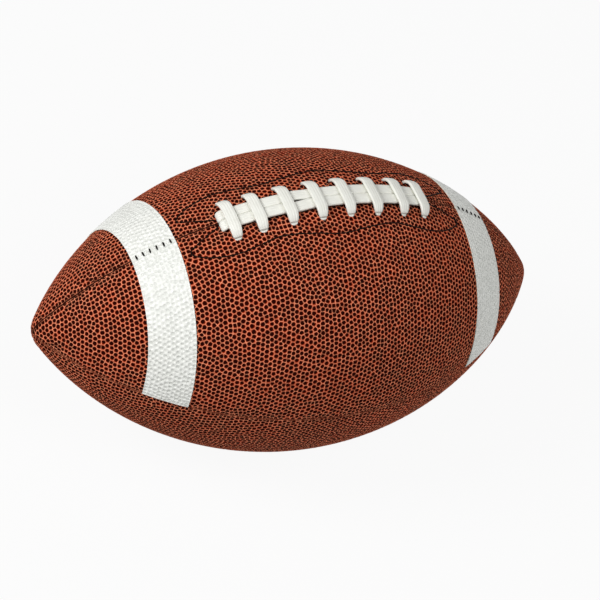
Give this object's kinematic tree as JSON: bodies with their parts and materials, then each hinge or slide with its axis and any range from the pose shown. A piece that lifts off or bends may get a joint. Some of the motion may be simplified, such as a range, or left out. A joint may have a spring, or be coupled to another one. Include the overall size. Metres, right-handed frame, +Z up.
{
  "type": "american football",
  "caption": "Laced youth american football: a pointed inflated ball of sewn pebbled panels with white end stripes, a raised white lace and a bladder with its valve inside.",
  "frame": {"origin": "middle of the flat on the belly where the ball rests, on the bottom seam", "axes": "+X along the ball from tip to tip, +Z up through the lacing, -Y towards the front upper panel"},
  "size_m": [0.276, 0.1524, 0.156],
  "materials": {
    "cover": "pebbled composite leather, orange brown with darker pits, satin",
    "stripe": "white composite leather with a fine soft pebble",
    "lace": "white moulded composite lace, satin",
    "thread": "black waxed sewing thread",
    "lining": "glued woven cotton",
    "facing": "laminated woven reinforcement",
    "bladder": "black butyl rubber, satin",
    "valve": "dark moulded rubber"
  },
  "bodies": {
    "root": {"front_upper_panel": "cover", "front_lower_panel": "cover", "rear_lower_panel": "cover", "rear_upper_panel": "cover", "front_upper_lining": "lining", "front_lower_lining": "lining", "rear_lower_lining": "lining", "rear_upper_lining": "lining", "front_left_stripe": "stripe", "front_right_stripe": "stripe", "rear_left_stripe": "stripe", "rear_right_stripe": "stripe", "left_lace_seam_thread": "thread", "right_lace_seam_thread": "thread", "front_seam_thread": "thread", "bottom_seam_thread": "thread", "rear_seam_thread": "thread", "front_lace_facing": "facing", "rear_lace_facing": "facing", "front_facing_stitch": "thread", "rear_facing_stitch": "thread", "lace_tongue": "facing", "lace": "lace", "bladder": "bladder", "valve_body": "valve", "valve_core": "valve"}
  },
  "joints": []
}
